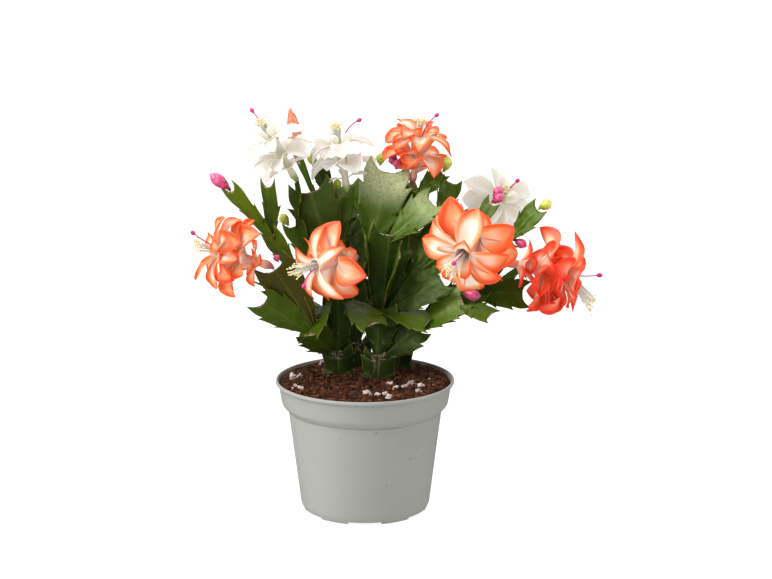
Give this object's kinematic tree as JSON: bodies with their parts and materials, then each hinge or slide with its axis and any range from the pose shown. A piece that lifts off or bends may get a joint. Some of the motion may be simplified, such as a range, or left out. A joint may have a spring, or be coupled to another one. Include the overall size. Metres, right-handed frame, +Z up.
{
  "type": "potted flowering cactus",
  "caption": "Potted christmas cactus with flat jointed green segments, orange, red and white tubular blooms and small buds in a grey nursery pot",
  "frame": {"origin": "centre of the pot's flat foot ring, on the surface that it stands on", "axes": "+Z up along the pot's axis, -Y toward the front view, +X to the right in that view"},
  "size_m": [0.273, 0.1658, 0.2697],
  "materials": {
    "pot_plastic": "light warm grey moulded plastic, matte, with faint darker specks",
    "potting_soil": "rough dark reddish-brown peat with a few white perlite grains",
    "leaf_green": "waxy flat leaf segments, dark green with bright highlights",
    "petal_white": "ivory petals, soft and slightly translucent",
    "petal_orange": "pale peach petals with coral to orange-red edges",
    "petal_red": "orange-red petals, soft and slightly translucent",
    "stamen_cream": "white threads with cream anthers",
    "style_magenta": "magenta style with a darker stigma",
    "bud_pink": "pink to magenta overlapping scales",
    "bud_green": "yellow-green overlapping scales"
  },
  "bodies": {
    "root": {"back_left_cutting": "leaf_green", "back_right_cutting": "leaf_green", "bloom_orange_closed": "petal_orange", "bloom_orange_front": "petal_orange", "bloom_orange_front_stamens": "stamen_cream", "bloom_orange_front_style": "style_magenta", "bloom_orange_left": "petal_orange", "bloom_orange_left_stamens": "stamen_cream", "bloom_orange_left_style": "style_magenta", "bloom_orange_right": "petal_orange", "bloom_orange_right_stamens": "stamen_cream", "bloom_orange_right_style": "style_magenta", "bloom_orange_top": "petal_orange", "bloom_orange_top_stamens": "stamen_cream", "bloom_orange_top_style": "style_magenta", "bloom_red_right": "petal_red", "bloom_red_right_stamens": "stamen_cream", "bloom_red_right_style": "style_magenta", "bloom_white_left": "petal_white", "bloom_white_left_stamens": "stamen_cream", "bloom_white_left_style": "style_magenta", "bloom_white_middle": "petal_white", "bloom_white_middle_stamens": "stamen_cream", "bloom_white_middle_style": "style_magenta", "bloom_white_right": "petal_white", "bloom_white_right_stamens": "stamen_cream", "bloom_white_right_style": "style_magenta", "bud_green_far_right": "bud_green", "bud_green_left": "bud_green", "bud_green_left_top": "bud_green", "bud_green_middle": "bud_green", "bud_green_right_top": "bud_green", "bud_green_top": "bud_green", "bud_pink_far_left": "bud_pink", "bud_pink_low_right": "bud_pink", "bud_pink_right_a": "bud_pink", "bud_pink_right_b": "bud_pink", "bud_pink_right_c": "bud_pink", "bud_pink_right_d": "bud_pink", "bud_pink_tiny_left": "bud_pink", "bud_pink_top_a": "bud_pink", "left_cutting": "leaf_green", "pot": "pot_plastic", "right_cutting": "leaf_green", "soil": "potting_soil"}
  },
  "joints": []
}
